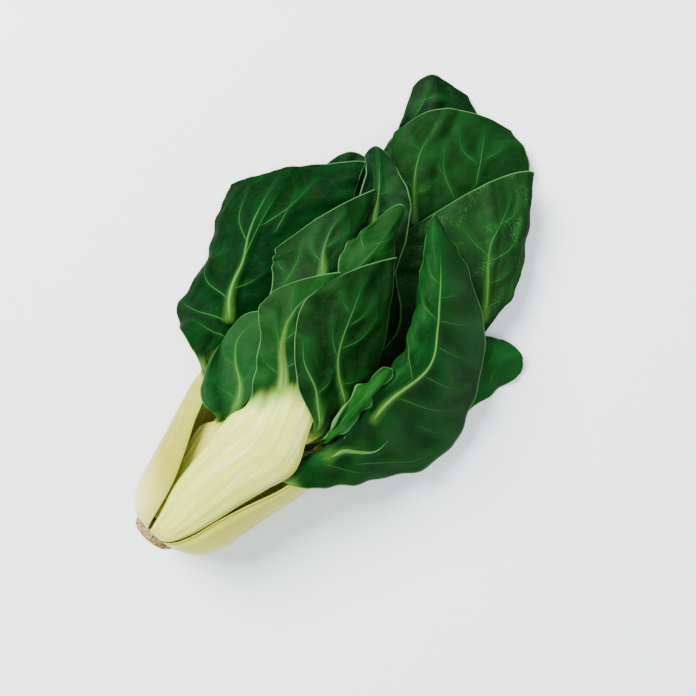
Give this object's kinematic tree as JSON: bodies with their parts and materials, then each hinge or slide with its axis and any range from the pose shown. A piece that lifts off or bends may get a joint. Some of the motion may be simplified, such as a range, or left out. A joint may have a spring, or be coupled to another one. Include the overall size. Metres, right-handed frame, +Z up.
{
  "type": "bok choy",
  "caption": "Whole head of bok choy lying on its side, with broad pale stalks round a short cut stem and dark, loosely piled leaves.",
  "frame": {"origin": "middle of the small flat spot under the bulb, where the head rests", "axes": "+X along the head from the cut root end to the leaf tips, +Z up from the surface it lies on"},
  "size_m": [0.2506, 0.1617, 0.0556],
  "materials": {
    "cut_stem": "rough",
    "under_leaf_pale": "satin",
    "under_leaf_green": "satin",
    "tip_leaf_pale": "satin",
    "tip_leaf_green": "satin",
    "low_leaf_pale": "satin",
    "low_leaf_green": "satin",
    "inner_leaf_pale": "satin",
    "inner_leaf_green": "satin",
    "back_leaf_pale": "satin",
    "back_leaf_green": "satin",
    "left_leaf_pale": "satin",
    "left_leaf_green": "satin",
    "folded_leaf_pale": "satin",
    "folded_leaf_green": "satin",
    "upper_leaf_pale": "satin",
    "upper_leaf_green": "satin",
    "centre_leaf_pale": "satin",
    "centre_leaf_green": "satin",
    "small_leaf_pale": "satin",
    "small_leaf_green": "satin",
    "front_leaf_pale": "satin",
    "front_leaf_green": "satin",
    "middle_leaf_pale": "satin",
    "middle_leaf_green": "satin",
    "right_leaf_pale": "satin",
    "right_leaf_green": "satin",
    "heart_leaf_green": "satin"
  },
  "bodies": {
    "root": {"stem": "cut_stem", "under_leaf_stalk": "under_leaf_pale", "under_leaf_blade": "under_leaf_green", "tip_leaf_stalk": "tip_leaf_pale", "tip_leaf_blade": "tip_leaf_green", "low_leaf_stalk": "low_leaf_pale", "low_leaf_blade": "low_leaf_green", "inner_leaf_stalk": "inner_leaf_pale", "inner_leaf_blade": "inner_leaf_green", "back_leaf_stalk": "back_leaf_pale", "back_leaf_blade": "back_leaf_green", "left_leaf_stalk": "left_leaf_pale", "left_leaf_blade": "left_leaf_green", "folded_leaf_stalk": "folded_leaf_pale", "folded_leaf_blade": "folded_leaf_green", "upper_leaf_stalk": "upper_leaf_pale", "upper_leaf_blade": "upper_leaf_green", "centre_leaf_stalk": "centre_leaf_pale", "centre_leaf_blade": "centre_leaf_green", "small_leaf_stalk": "small_leaf_pale", "small_leaf_blade": "small_leaf_green", "front_leaf_stalk": "front_leaf_pale", "front_leaf_blade": "front_leaf_green", "middle_leaf_stalk": "middle_leaf_pale", "middle_leaf_blade": "middle_leaf_green", "right_leaf_stalk": "right_leaf_pale", "right_leaf_blade": "right_leaf_green", "heart_leaf": "heart_leaf_green"}
  },
  "joints": []
}
